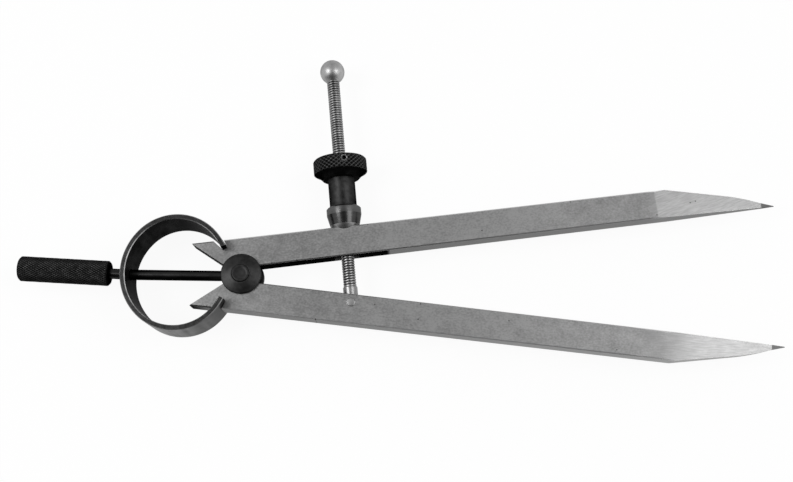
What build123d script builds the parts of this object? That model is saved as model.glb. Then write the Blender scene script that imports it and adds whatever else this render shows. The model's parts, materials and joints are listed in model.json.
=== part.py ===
from build123d import *
from math import atan2, cos, degrees, radians, sin, sqrt, tan
import os

os.makedirs("parts", exist_ok=True)

# Spring divider, lying flat. +X runs from the fulcrum to the points, +Y across the legs and +Z up from
# the floor side. The origin is on the fulcrum's axis, in the back face of the rear disc. Millimetres.

# Legs, measured with both legs parallel: along the leg from the fulcrum's axis, and across it
leg_reach = 150.0  # fulcrum's axis to the point
leg_thick = 6.35
leg_inner_edge = 1.85  # half the gap between parallel legs
leg_heel_width = 8.35
leg_shoulder_width = 7.85
shoulder_reach = 119.5
taper_reach = 140.8  # end of the long ground taper
taper_width = 3.45
needle_reach = 146.0  # start of the sharp point
needle_width = 1.4
needle_thick = 1.6
point_size = 0.2  # flat left on the very tip
grind_reach = 116.5  # where the broad faces start to thin
leg_edge_break = 0.3
leg_spread = 6.87  # degrees that each leg stands open
swing_open = 10.0  # degrees that each leg can open further
swing_close = 7.5  # degrees that each leg can close

# Horn behind the fulcrum
horn_reach = 12.85
horn_slope = 40.2  # degrees between its slanted end and the leg

# Fulcrum
core_radius = 3.3
core_fit = 0.08  # running fit of the legs on the core
disc_radius = 5.6
disc_thick = 1.5
disc_rim = 0.7  # thickness left at the rim, below the sloping face
disc_land_radius = 2.9  # flat round the rivet
disc_gap = 0.1  # between each disc and the legs
rivet_radius = 2.35
rivet_fit = 0.02
rivet_edge = 0.25  # chamfer on the front end, which stands proud by as much

# Handle
stem_radius = 1.45
stem_fit = 0.05
stem_depth = 2.1  # how far the stem goes into the core
stem_lean = 0.85  # degrees off the centre line
stem_relief = 0.2  # between the stem and a leg that is wide open
bend_reach = 30.8  # from the fulcrum's axis to the bend
bend_angle = 2.45  # further degrees that the handle is bent
bend_radius = 40.0
grip_reach = 37.0  # from the fulcrum's axis to the grip
grip_length = 25.1
grip_radius = 3.5
grip_bore_depth = 14.0
grip_edge = 0.45

# Bow spring: an oval of four arcs, measured to the middle of its strip
bow_centre = 17.46  # behind the fulcrum's axis
bow_half_length = 14.4
bow_half_width = 15.38
bow_side_radius = 13.7  # the tighter arcs, beside the legs
strip_thick = 1.35
strip_width = 14.3
strip_seat_offset = 7.65  # from the centre line to the end that bears on the leg
prong_offset = 7.1  # from the centre line to the tips that straddle the leg
prong_gap = 0.12
bow_hole_gap = 0.25
notch_gap = 0.05
notch_floor = 1.6
notch_back_reach = 6.9  # from the fulcrum's axis to the notch's back corner, along the leg

# Adjusting screw, measured along it from its pivot pin
pin_reach = 31.0
pin_offset = 4.15  # across the leg from the fulcrum's axis
pin_radius = 1.175
pin_fit = 0.05
pin_press = 0.02
pin_edge = 0.2  # chamfer on the front end, which stands proud by as much
screw_lean = 5.2  # degrees that it leans back towards the handle
lean_per_swing = 0.1  # degrees that it leans further for each degree of opening
screw_radius = 1.65
slot_gap = 0.25
eye_radius = 2.0
eye_height = 4.85
eye_shoulder = 0.35
ball_radius = 3.52
ball_height = 68.35
ball_bore_fit = 0.03

# Seat washer and its dish in the upper leg
seat_height = 24.3  # from the pivot pin to the centre of the washer's ball-shaped nose
nose_radius = 4.45
nose_depth = 3.6  # from that centre down to the washer's flat bottom
nose_shoulder = 2.0  # from that centre down to the end of the ball shape
seat_gap = 0.25
washer_radius = 4.87
washer_cone_height = 3.0
washer_rim_height = 2.2
washer_edge = 0.4
washer_bore_gap = 0.3
cup_depth = 1.5

# Split nut
nut_bore_gap = 0.08
barrel_radius = 3.8
barrel_length = 7.85  # from the washer's top to the boss
jaw_gap = 0.08  # between the jaws and the washer's cup
jaw_length = 1.8
jaw_slope = 55.0  # degrees between the jaws' cone and the washer
boss_radius = 5.2
boss_height = 1.3
boss_shoulder_radius = 6.1
head_radius = 7.6
head_flare = 1.05  # from the boss to the head's rim, along the screw
head_height = 3.9
head_edge = 0.45
head_countersink = 0.7
slot_width = 0.8
slot_land = 1.05  # left uncut between the slot and the boss
slot_turn = 74.0  # degrees round the barrel from the top side
dimple_radius = 0.6
dimple_depth = 1.2
dimple_drop = 1.1  # from the head's top
dimple_turn = 7.6  # degrees round the head from the top side

# Shared sizes, places and planes
leg_half = leg_thick / 2
mid = leg_half + disc_gap + disc_thick
slack = 5.0  # how far a cut runs past the solid
centre = Vector(0, 0, mid)
stem_along = Vector(-cos(radians(stem_lean)), sin(radians(stem_lean)), 0)
stem_plane = Plane(origin=centre, x_dir=(0, 0, 1), z_dir=stem_along)
stem_start = stem_plane.offset(core_radius - stem_depth)  # its end inside the core

bow_side_shift = bow_half_width - bow_side_radius
bow_end_radius = (bow_half_length**2 + bow_side_shift**2 - bow_side_radius**2) / (
    2 * (bow_half_length - bow_side_radius)
)
bow_end_shift = bow_end_radius - bow_half_length
bow_join = degrees(atan2(bow_side_shift, bow_end_shift))  # heading at which the arcs meet
bow_front_centre = Vector(-bow_centre - bow_end_shift, 0, mid)
bow_back_centre = Vector(-bow_centre + bow_end_shift, 0, mid)
bow_upper_centre = Vector(-bow_centre, bow_side_shift, mid)
bow_lower_centre = Vector(-bow_centre, -bow_side_shift, mid)


def leg_plane(side):
    """Plane of a leg: local X along it, local Y away from the other leg. Side is 1 or -1, upper or lower."""
    along = (cos(radians(leg_spread)), side * sin(radians(leg_spread)), 0)
    return Plane(origin=centre, x_dir=along, z_dir=(0, 0, side))


def outer_edge(reach):
    """How far a leg's outer edge stands from the fulcrum's axis, across the leg."""
    narrowing = (leg_heel_width - leg_shoulder_width) / shoulder_reach
    return leg_inner_edge + leg_heel_width - narrowing * reach


def strip_plane(offset, side):
    """Plane on the middle of the bow's strip, this far from the centre line: local X follows the strip."""
    outward = Vector(sqrt(bow_end_radius**2 - offset**2), side * offset)
    return Plane(origin=bow_front_centre + outward, x_dir=outward.rotate(Axis.Z, side * 90), z_dir=(0, 0, 1))


def swing_outline(pivot, first, last, half_width, reach):
    """Draw what a rod sweeps about a pivot, from heading first round to heading last in degrees."""
    first_along = Vector(cos(radians(first)), sin(radians(first)))
    last_along = Vector(cos(radians(last)), sin(radians(last)))
    first_side = pivot + first_along.rotate(Axis.Z, -90) * half_width
    last_side = pivot + last_along.rotate(Axis.Z, 90) * half_width
    first_end = first_side + first_along * reach
    last_end = last_side + last_along * reach
    Polygon(pivot, first_side, first_end, last_end, last_side, align=None)
    with Locations(pivot):
        Circle(half_width)


upper_plane = leg_plane(1)
lower_plane = leg_plane(-1)

pin_local = Vector(pin_reach, pin_offset)
pin_place = lower_plane.from_local_coords(pin_local)
screw_up = Vector(-sin(radians(screw_lean)), cos(radians(screw_lean)), 0)
screw_across = Vector(cos(radians(screw_lean)), sin(radians(screw_lean)), 0)
screw_plane = Plane(origin=pin_place, x_dir=screw_across, z_dir=(0, 0, 1))
screw_axis = Axis(pin_place, screw_up)
seat_place = pin_place + screw_up * seat_height
seat_local = upper_plane.to_local_coords(seat_place)


def round_screw(turn):
    """Direction square to the screw, turned this many degrees round it from the top side."""
    return Vector(0, 0, 1) * cos(radians(turn)) + screw_across * sin(radians(turn))


# Legs: both are made from the same blank
notch_plane = strip_plane(strip_seat_offset, 1)
notch_seat = upper_plane.to_local_coords(notch_plane.origin)
notch_along = upper_plane.to_local_coords(notch_plane.origin + notch_plane.x_dir) - notch_seat
notch_across = notch_along.rotate(Axis.Z, 90)
widest_spread = leg_spread + swing_open
narrowest_spread = leg_spread - swing_close


def leg_blank(plane):
    """A leg in its plane: horn, shoulder and ground point, with the cuts that both legs have."""
    heel_reach = horn_reach - (outer_edge(-horn_reach) - leg_inner_edge) / tan(radians(horn_slope))
    with BuildPart() as blank:
        with BuildSketch(plane):
            Polygon(
                (-horn_reach, outer_edge(-horn_reach)),
                (-heel_reach, leg_inner_edge),
                (leg_reach, leg_inner_edge),
                (leg_reach, leg_inner_edge + point_size),
                (needle_reach, leg_inner_edge + needle_width),
                (taper_reach, leg_inner_edge + taper_width),
                (shoulder_reach, outer_edge(shoulder_reach)),
                align=None,
            )
        extrude(amount=leg_half, both=True)
        face_edges = blank.faces().filter_by(Axis.Z).edges()
        chamfer(face_edges.filter_by(lambda edge: edge.length > shoulder_reach), leg_edge_break)
        with BuildSketch(Plane(origin=centre, x_dir=plane.x_dir, z_dir=-plane.y_dir)):
            Polygon(
                (-horn_reach - slack, leg_half),
                (grind_reach, leg_half),
                (needle_reach, needle_thick / 2),
                (leg_reach, point_size / 2),
                (leg_reach, -point_size / 2),
                (needle_reach, -needle_thick / 2),
                (grind_reach, -leg_half),
                (-horn_reach - slack, -leg_half),
                align=None,
            )
        extrude(amount=-leg_heel_width - leg_inner_edge - slack, mode=Mode.INTERSECT)
        with BuildSketch(plane):
            Circle(core_radius + core_fit)
            swing_outline(
                Vector(0, 0),
                180 - stem_lean - widest_spread,
                180 + stem_lean - narrowest_spread,
                stem_radius + stem_relief,
                horn_reach,
            )
            floor = notch_seat - notch_along * notch_gap
            floor_front = floor - notch_across * notch_floor / 2
            back_corner = Vector(-notch_back_reach, outer_edge(-notch_back_reach))
            Polygon(
                floor + notch_across * notch_floor / 2,
                back_corner,
                back_corner + notch_along * slack,
                floor_front + notch_along * leg_heel_width,
                floor_front,
                align=None,
            )
        extrude(amount=leg_thick, both=True, mode=Mode.SUBTRACT)
    return blank.part


upper_blank = leg_blank(upper_plane)
lower_blank = leg_blank(lower_plane)

# Upper leg: a dish for the washer's nose and a slot in which the screw can lean
screw_slot = screw_radius + slot_gap
screw_down = 270 + screw_lean - leg_spread
with BuildPart() as upper_leg:
    add(upper_blank)
    with Locations(seat_place):
        Sphere(nose_radius + seat_gap, mode=Mode.SUBTRACT)
    with BuildSketch(upper_plane):
        swing_outline(
            seat_local,
            screw_down - (1 - lean_per_swing) * swing_open,
            screw_down + (1 - lean_per_swing) * swing_close,
            screw_slot,
            seat_height,
        )
    extrude(amount=screw_slot, both=True, mode=Mode.SUBTRACT)

# Lower leg: a pocket for the screw's eye, and the cross hole for its pin
eye_pocket = eye_radius + slot_gap
with BuildPart() as lower_leg:
    add(lower_blank)
    with BuildSketch(lower_plane):
        swing_outline(
            pin_local,
            270 - screw_lean - lean_per_swing * swing_open - widest_spread,
            270 - screw_lean + lean_per_swing * swing_close - narrowest_spread,
            eye_pocket,
            seat_height,
        )
    extrude(amount=eye_pocket, both=True, mode=Mode.SUBTRACT)
    with BuildSketch(lower_plane):
        with Locations(pin_local):
            Circle(pin_radius + pin_press)
    extrude(amount=leg_thick, both=True, mode=Mode.SUBTRACT)

# Bow spring: an oval strip with an open mouth, whose forked ends straddle the legs
mouth_plane = strip_plane(prong_offset, 1)
mouth_normal = mouth_plane.x_dir.rotate(Axis.Z, -90)
mouth_apex = mouth_plane.origin - mouth_normal * (prong_offset / mouth_normal.Y)
mouth_reach = 2 * bow_half_length + slack
with BuildPart() as bow_spring:
    with BuildSketch(Plane.XY.offset(mid)):
        for growth, mode in ((strip_thick / 2, Mode.ADD), (-strip_thick / 2, Mode.SUBTRACT)):
            with BuildLine():
                CenterArc(bow_front_centre, bow_end_radius + growth, -bow_join, 2 * bow_join)
                CenterArc(bow_upper_centre, bow_side_radius + growth, bow_join, 180 - 2 * bow_join)
                CenterArc(bow_back_centre, bow_end_radius + growth, 180 - bow_join, 2 * bow_join)
                CenterArc(bow_lower_centre, bow_side_radius + growth, 180 + bow_join, 180 - 2 * bow_join)
            make_face(mode=mode)
        Polygon(
            (mouth_apex.X, 0),
            (mouth_apex.X + mouth_normal.X * mouth_reach, -mouth_normal.Y * mouth_reach),
            (mouth_apex.X + mouth_normal.X * mouth_reach, mouth_normal.Y * mouth_reach),
            align=None,
            mode=Mode.SUBTRACT,
        )
    extrude(amount=strip_width / 2, both=True)
    for side in (1, -1):
        with BuildSketch(strip_plane(strip_seat_offset, side)):
            Rectangle(slack, slack, align=(Align.MAX, Align.CENTER))
        extrude(amount=leg_half + prong_gap, both=True, mode=Mode.SUBTRACT)
    with BuildSketch(stem_plane):
        Circle(stem_radius + bow_hole_gap)
    extrude(amount=grip_reach, mode=Mode.SUBTRACT)

# Fulcrum: a core with a rivet at each end, and a disc on each rivet
disc_bottom = mid + leg_half + disc_gap
with BuildPart() as fulcrum_core:
    with BuildSketch(Plane.XZ):
        Polygon(
            (0, 0),
            (rivet_radius, 0),
            (rivet_radius, disc_thick),
            (core_radius, disc_thick),
            (core_radius, disc_bottom),
            (rivet_radius, disc_bottom),
            (rivet_radius, disc_bottom + disc_thick),
            (rivet_radius - rivet_edge, disc_bottom + disc_thick + rivet_edge),
            (0, disc_bottom + disc_thick + rivet_edge),
            align=None,
        )
    revolve(axis=Axis.Z)
    with BuildSketch(stem_start):
        Circle(stem_radius + stem_fit)
    extrude(amount=core_radius, mode=Mode.SUBTRACT)

with BuildPart() as rear_disc:
    with BuildSketch(Plane.XZ):
        Polygon(
            (rivet_radius + rivet_fit, 0),
            (disc_land_radius, 0),
            (disc_radius, disc_thick - disc_rim),
            (disc_radius, disc_thick),
            (rivet_radius + rivet_fit, disc_thick),
            align=None,
        )
    revolve(axis=Axis.Z)

with BuildPart() as front_disc:
    mirror(rear_disc.part, about=Plane.XY.offset(mid))

# Handle: a stem that is bent a little behind the bow, and the grip on its end
handle_along = stem_along.rotate(Axis.Z, -bend_angle)
bend_place = centre + stem_along * bend_reach
grip_place = bend_place + handle_along * (grip_reach - bend_reach)
stem_end = grip_place + handle_along * grip_bore_depth
with BuildPart() as handle_stem:
    with BuildLine() as stem_path:
        FilletPolyline(stem_start.origin, bend_place, stem_end, radius=bend_radius)
    with BuildSketch(stem_start):
        Circle(stem_radius)
    sweep(path=stem_path.line)

with BuildPart(Plane(origin=grip_place, z_dir=handle_along)) as handle_grip:
    Cylinder(grip_radius, grip_length, align=(Align.CENTER, Align.CENTER, Align.MIN))
    chamfer(handle_grip.edges().filter_by(GeomType.CIRCLE), grip_edge)
    Cylinder(
        stem_radius + stem_fit,
        grip_bore_depth,
        align=(Align.CENTER, Align.CENTER, Align.MIN),
        mode=Mode.SUBTRACT,
    )

# Adjusting screw: a rod with a round-ended eye on the lower leg's pin, and a ball on its far end
with BuildPart() as adjusting_screw:
    with BuildSketch(screw_plane):
        with BuildLine():
            eye_end = CenterArc((0, 0), eye_radius, -90, 90)
            rod = Polyline(
                eye_end @ 1,
                (eye_radius, eye_height - eye_shoulder),
                (screw_radius, eye_height),
                (screw_radius, ball_height),
                (0, ball_height),
                eye_end @ 0,
            )
        make_face()
    revolve(axis=screw_axis)
    with BuildSketch(screw_plane):
        Circle(pin_radius + pin_fit)
    extrude(amount=eye_radius + slack, both=True, mode=Mode.SUBTRACT)

with BuildPart(Plane(origin=pin_place + screw_up * ball_height, z_dir=screw_up)) as screw_ball:
    Sphere(ball_radius)
    Cylinder(
        screw_radius + ball_bore_fit,
        ball_radius + slack,
        align=(Align.CENTER, Align.CENTER, Align.MAX),
        mode=Mode.SUBTRACT,
    )

with BuildPart() as pivot_pin:
    with BuildSketch(Plane(origin=pin_place, x_dir=(1, 0, 0), z_dir=(0, -1, 0))):
        Polygon(
            (0, -leg_half),
            (pin_radius, -leg_half),
            (pin_radius, leg_half),
            (pin_radius - pin_edge, leg_half + pin_edge),
            (0, leg_half + pin_edge),
            align=None,
        )
    revolve(axis=Axis(pin_place, (0, 0, 1)))

# Seat washer: a ball-shaped nose below, and a cup for the nut's jaws above
washer_bottom = seat_height - nose_depth
washer_cone_bottom = seat_height - nose_shoulder
washer_rim_bottom = washer_cone_bottom + washer_cone_height
washer_top = washer_rim_bottom + washer_rim_height
cup_radius = barrel_radius + jaw_gap
cup_floor = washer_top - cup_depth
washer_bore = screw_radius + washer_bore_gap
cup_cone_bottom = cup_floor - (cup_radius - washer_bore) * tan(radians(jaw_slope))
nose_bottom_radius = sqrt(nose_radius**2 - nose_depth**2)
nose_top_radius = sqrt(nose_radius**2 - nose_shoulder**2)
with BuildPart() as seat_washer:
    with BuildSketch(screw_plane):
        with BuildLine():
            nose = RadiusArc(
                (nose_bottom_radius, washer_bottom),
                (nose_top_radius, washer_cone_bottom),
                -nose_radius,
            )
            Polyline(
                nose @ 1,
                (washer_radius, washer_rim_bottom),
                (washer_radius, washer_top - washer_edge),
                (washer_radius - washer_edge, washer_top),
                (cup_radius, washer_top),
                (cup_radius, cup_floor),
                (washer_bore, cup_cone_bottom),
                (washer_bore, washer_bottom),
                nose @ 0,
            )
        make_face()
    revolve(axis=screw_axis)

# Split nut: a round head above a barrel that is slit into two jaws, which the washer's cup holds shut
nut_bore = screw_radius + nut_bore_gap
jaw_bottom = cup_floor - jaw_length
jaw_tip_radius = barrel_radius - jaw_length / tan(radians(jaw_slope))
barrel_top = washer_top + barrel_length
boss_top = barrel_top + boss_height
head_bottom = boss_top + head_flare
head_top = head_bottom + head_height
slot_top = barrel_top - slot_land
slot_across = round_screw(slot_turn)
dimple_out = round_screw(dimple_turn)
dimple_floor = pin_place + screw_up * (head_top - dimple_drop) + dimple_out * (head_radius - dimple_depth)
with BuildPart() as split_nut:
    with BuildSketch(screw_plane):
        Polygon(
            (nut_bore, jaw_bottom),
            (jaw_tip_radius, jaw_bottom),
            (barrel_radius, cup_floor),
            (barrel_radius, barrel_top),
            (boss_radius, barrel_top),
            (boss_shoulder_radius, boss_top),
            (head_radius, head_bottom),
            (head_radius, head_top - head_edge),
            (head_radius - head_edge, head_top),
            (nut_bore + head_countersink, head_top),
            (nut_bore, head_top - head_countersink),
            align=None,
        )
    revolve(axis=screw_axis)
    with BuildSketch(Plane(origin=pin_place + screw_up * slot_top, x_dir=slot_across, z_dir=-screw_up)):
        Rectangle(2 * barrel_radius + slack, slot_width)
    extrude(amount=slot_top - jaw_bottom + slack, mode=Mode.SUBTRACT)
    with BuildSketch(Plane(origin=dimple_floor, z_dir=dimple_out)):
        Circle(dimple_radius)
    extrude(amount=dimple_depth + slack, mode=Mode.SUBTRACT)

upper_leg.part.label = "upper_leg"
lower_leg.part.label = "lower_leg"
bow_spring.part.label = "bow_spring"
fulcrum_core.part.label = "fulcrum_core"
rear_disc.part.label = "rear_disc"
front_disc.part.label = "front_disc"
handle_stem.part.label = "handle_stem"
handle_grip.part.label = "handle_grip"
adjusting_screw.part.label = "adjusting_screw"
screw_ball.part.label = "screw_ball"
pivot_pin.part.label = "pivot_pin"
seat_washer.part.label = "seat_washer"
split_nut.part.label = "split_nut"

export_step(upper_leg.part, "parts/upper_leg.step")
export_step(lower_leg.part, "parts/lower_leg.step")
export_step(bow_spring.part, "parts/bow_spring.step")
export_step(fulcrum_core.part, "parts/fulcrum_core.step")
export_step(rear_disc.part, "parts/rear_disc.step")
export_step(front_disc.part, "parts/front_disc.step")
export_step(handle_stem.part, "parts/handle_stem.step")
export_step(handle_grip.part, "parts/handle_grip.step")
export_step(adjusting_screw.part, "parts/adjusting_screw.step")
export_step(screw_ball.part, "parts/screw_ball.step")
export_step(pivot_pin.part, "parts/pivot_pin.step")
export_step(seat_washer.part, "parts/seat_washer.step")
export_step(split_nut.part, "parts/split_nut.step")
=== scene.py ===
import json
import math

import bmesh
import bpy
from mathutils import Matrix, Vector


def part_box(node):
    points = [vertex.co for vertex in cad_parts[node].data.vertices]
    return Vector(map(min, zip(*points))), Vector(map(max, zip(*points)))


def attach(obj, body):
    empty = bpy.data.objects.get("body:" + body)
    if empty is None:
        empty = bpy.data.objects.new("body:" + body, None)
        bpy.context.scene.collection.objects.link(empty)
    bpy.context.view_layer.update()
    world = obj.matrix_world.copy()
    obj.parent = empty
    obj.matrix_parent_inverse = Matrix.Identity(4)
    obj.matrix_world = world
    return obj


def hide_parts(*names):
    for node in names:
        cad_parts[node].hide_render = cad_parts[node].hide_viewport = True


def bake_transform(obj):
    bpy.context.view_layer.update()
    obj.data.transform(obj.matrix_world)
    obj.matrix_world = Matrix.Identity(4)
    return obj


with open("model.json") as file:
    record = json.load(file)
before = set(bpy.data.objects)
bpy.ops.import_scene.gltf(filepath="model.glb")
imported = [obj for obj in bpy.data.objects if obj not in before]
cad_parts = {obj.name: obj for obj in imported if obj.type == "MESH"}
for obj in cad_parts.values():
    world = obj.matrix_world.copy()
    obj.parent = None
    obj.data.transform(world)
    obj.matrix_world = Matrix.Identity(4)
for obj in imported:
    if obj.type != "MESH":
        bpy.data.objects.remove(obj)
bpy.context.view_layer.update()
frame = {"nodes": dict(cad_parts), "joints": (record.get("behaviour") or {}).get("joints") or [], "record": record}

# Camera
# A 50 mm lens on a full-frame camera, about 0.3 m above the divider and leaning in from the lower leg's
# side. The picture's right is the way that the legs point.
mm = 0.001
camera_place = Vector((44.27, -59.68, 304.79)) * mm
camera_aim = Vector((42.69, 10.02, 4.775)) * mm
camera = bpy.data.objects.new("camera", bpy.data.cameras.new("camera"))
camera.data.lens = 50
camera.data.sensor_width = 36
camera.data.clip_start = 0.01
camera_back = (camera_place - camera_aim).normalized()
camera_right = Vector((0, 1, 0)).cross(camera_back).normalized()
camera_axes = Matrix((camera_right, camera_back.cross(camera_right), camera_back)).transposed()
camera.matrix_world = Matrix.Translation(camera_place) @ camera_axes.to_4x4()
bpy.context.scene.collection.objects.link(camera)
bpy.context.scene.camera = camera
bpy.context.scene.view_settings.view_transform = "Standard"

# Floor and light
# The divider lies on a white table, on the rim of its nut and just clear of it with its bow. Two lamps at
# its left and right give turned pieces their pairs of highlights, and the room is bright at the sides and
# dark at the near end, which shows in the steel.
floor_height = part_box("split_nut")[0].z
floor_reach = 6.0
floor_white = (0.9, 0.9, 0.9, 1)
floor_glow = 0.93
room_side_light = 0.9
room_side_start = 0.12
room_side_end = 0.7
room_side_lean = 0.3
room_middle_light = ((0.2, 0.02), (0.48, 0.25), (0.62, 0.5), (0.9, 0.2))
lamp_distance = 0.36
lamp_height = 0.46
lamps = (("lamp_left", -1, 0.22, 1.15), ("lamp_right", 1, 0.3, 0.95))


def put_on_show(mesh, name):
    """A new object of this mesh, at the origin."""
    piece = bpy.data.objects.new(name, mesh)
    bpy.context.scene.collection.objects.link(piece)
    return piece


def feed(tree, socket, value):
    """Set a node's input to a value, or link it where the value is another node's output."""
    if isinstance(value, bpy.types.NodeSocket):
        tree.links.new(value, socket)
    else:
        socket.default_value = value


def link_shader(tree, kind, **inputs):
    """A new shader node with its inputs fed these values."""
    node = tree.nodes.new(kind)
    for key, value in inputs.items():
        feed(tree, node.inputs[key.replace("_", " ")], value)
    return node


def math_in(tree):
    """A function that adds a Math node to this tree, of numbers and outputs, and gives its output."""
    def math_node(operation, *values):
        node = tree.nodes.new("ShaderNodeMath")
        node.operation = operation
        for socket, value in zip(node.inputs, values):
            feed(tree, socket, value)
        return node.outputs[0]

    return math_node


def rising(tree, value, start, end, low=0.0, high=1.0):
    """Output that goes from low to high as a value goes from start to end, and stays there."""
    node = link_shader(tree, "ShaderNodeMapRange", Value=value, From_Min=start, From_Max=end)
    feed(tree, node.inputs["To Min"], low)
    feed(tree, node.inputs["To Max"], high)
    return node.outputs[0]


def set_ramp(ramp, stops):
    """Give a colour ramp these stops of (position, grey)."""
    elements = ramp.color_ramp.elements
    for index, (position, grey) in enumerate(stops):
        element = elements[index] if index < 2 else elements.new(position)
        element.position = position
        element.color = (grey, grey, grey, 1)


floor_mesh = bpy.data.meshes.new("floor")
floor_sides = ((-1, -1), (1, -1), (1, 1), (-1, 1))
floor_corners = [(x * floor_reach, y * floor_reach, floor_height) for x, y in floor_sides]
floor_mesh.from_pydata(floor_corners, [], [(0, 1, 2, 3)])
floor = put_on_show(floor_mesh, "floor")
floor_finish = bpy.data.materials.new("white_table")
floor_finish.use_nodes = True
table = floor_finish.node_tree
paint = table.nodes["Principled BSDF"]
paint.inputs["Base Color"].default_value = floor_white
paint.inputs["Roughness"].default_value = 1
paint.inputs["Specular IOR Level"].default_value = 0
rays = table.nodes.new("ShaderNodeLightPath")
table_math = math_in(table)
seen = table_math("MAXIMUM", rays.outputs["Is Camera Ray"], rays.outputs["Is Glossy Ray"])
seen = table_math("MAXIMUM", seen, rays.outputs["Is Transmission Ray"])
glow_share = table_math("MULTIPLY", seen, floor_glow)
glow = link_shader(table, "ShaderNodeEmission", Strength=1.0)
mix = table.nodes.new("ShaderNodeMixShader")
table.links.new(glow_share, mix.inputs[0])
table.links.new(paint.outputs[0], mix.inputs[1])
table.links.new(glow.outputs[0], mix.inputs[2])
table.links.new(mix.outputs[0], table.nodes["Material Output"].inputs["Surface"])
floor_mesh.materials.append(floor_finish)

room = bpy.data.worlds.new("studio")
bpy.context.scene.world = room
room.use_nodes = True
sky = room.node_tree
sky_math = math_in(sky)
sky_place = sky.nodes.new("ShaderNodeTexCoord").outputs["Generated"]
direction = link_shader(sky, "ShaderNodeSeparateXYZ", Vector=sky_place)
aside = sky_math("ABSOLUTE", direction.outputs["X"])
side_share = sky_math("MULTIPLY_ADD", direction.outputs["Y"], room_side_lean, aside)
middle_light = link_shader(sky, "ShaderNodeValToRGB", Fac=rising(sky, direction.outputs["Y"], -1, 1))
set_ramp(middle_light, room_middle_light)
middle = middle_light.outputs["Color"]
room_light = rising(sky, side_share, room_side_start, room_side_end, middle, room_side_light)
sky.links.new(room_light, sky.nodes["Background"].inputs["Strength"])
sky.nodes["Background"].inputs["Color"].default_value = (1, 1, 1, 1)

for name, side, size, power in lamps:
    lamp = bpy.data.objects.new(name, bpy.data.lights.new(name, "AREA"))
    lamp.data.size = size
    lamp.data.energy = power
    lamp.location = camera_aim + Vector((side * lamp_distance, 0, lamp_height))
    lamp.rotation_euler = (camera_aim - lamp.location).to_track_quat("-Z", "Y").to_euler()
    bpy.context.scene.collection.objects.link(lamp)

# Fulcrum
# A steel core on which both legs turn, with a turned disc riveted on at its front and its back. The discs
# are darkened steel with a sloping face, and the rivet's end is a little dished.
round_steps = 96
on_axis = 1e-9
blunt_corner = math.radians(12)
core_radius = 3.3 * mm
rivet_radius = 2.35 * mm
rivet_dish_radius = 1.85 * mm
rivet_dish_floor = 1.48 * mm
rivet_dish = 0.08 * mm
disc_radius = 5.6 * mm
disc_land_radius = 2.75 * mm
disc_thick = 1.5 * mm
disc_rim = 0.7 * mm
turned_edge = 0.15 * mm
disc_grey = 0.032
cloud_fineness = 260.0
cloud_share = 0.5
tone_span = (0.45, 1.05)
sheen_span = (0.8, 1.2)


def along_axes(tree, place, turn, fineness):
    """A place measured along axes turned about the upright one, in steps of this fineness per metre."""
    step = [1 / count for count in fineness]
    node = link_shader(tree, "ShaderNodeMapping", Vector=place, Rotation=(0, 0, turn), Scale=step)
    node.vector_type = "TEXTURE"
    return node.outputs[0]


def steel(name, grey, rough, grain, turn=0.0, shade=0.25, depth=0.02, edge=0.6):
    """A steel finish. Grain holds how fine its marks are along three axes, turned about the upright one."""
    finish = bpy.data.materials.new(name)
    finish.use_nodes = True
    tree = finish.node_tree
    surface = tree.nodes["Principled BSDF"]
    surface.inputs["Metallic"].default_value = 1
    surface.inputs["Specular Tint"].default_value = (edge, edge, edge, 1)
    place = tree.nodes.new("ShaderNodeTexCoord").outputs["Object"]
    turned_place = along_axes(tree, place, turn, grain)
    marks = link_shader(tree, "ShaderNodeTexNoise", Vector=turned_place, Scale=1.0, Detail=5.0)
    cloud = link_shader(tree, "ShaderNodeTexNoise", Vector=place, Scale=cloud_fineness, Detail=3.0)
    both = math_in(tree)("MULTIPLY_ADD", cloud.outputs["Fac"], cloud_share, marks.outputs["Fac"])
    tone = link_shader(tree, "ShaderNodeValToRGB", Fac=both)
    tone.name = "tone"
    set_ramp(tone, ((tone_span[0], grey * (1 - shade)), (tone_span[1], grey * (1 + shade))))
    tree.links.new(tone.outputs["Color"], surface.inputs["Base Color"])
    sheen = rising(tree, marks.outputs["Fac"], 0, 1, rough * sheen_span[0], rough * sheen_span[1])
    tree.links.new(sheen, surface.inputs["Roughness"])
    height = marks.outputs["Fac"]
    relief = link_shader(tree, "ShaderNodeBump", Height=height, Strength=1.0, Distance=depth * mm)
    tree.links.new(relief.outputs[0], surface.inputs["Normal"])
    return finish


def eased(outline, size):
    """An outline of (radius, height) points with its corners rounded off by up to this size."""
    rounded = []
    for index, corner in enumerate(outline):
        before = outline[index - 1] - corner
        after = outline[(index + 1) % len(outline)] - corner
        if corner.x < on_axis or before.angle(-after) < blunt_corner:
            rounded.append(corner)
            continue
        start = corner + before.normalized() * min(size, before.length / 2)
        end = corner + after.normalized() * min(size, after.length / 2)
        for share in (0, 0.25, 0.5, 0.75, 1):
            rounded.append(start.lerp(corner, share).lerp(corner.lerp(end, share), share))
    return rounded


def mesh_of(form, name):
    """A new mesh of a finished form."""
    mesh = bpy.data.meshes.new(name)
    form.to_mesh(mesh)
    form.free()
    return mesh


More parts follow.
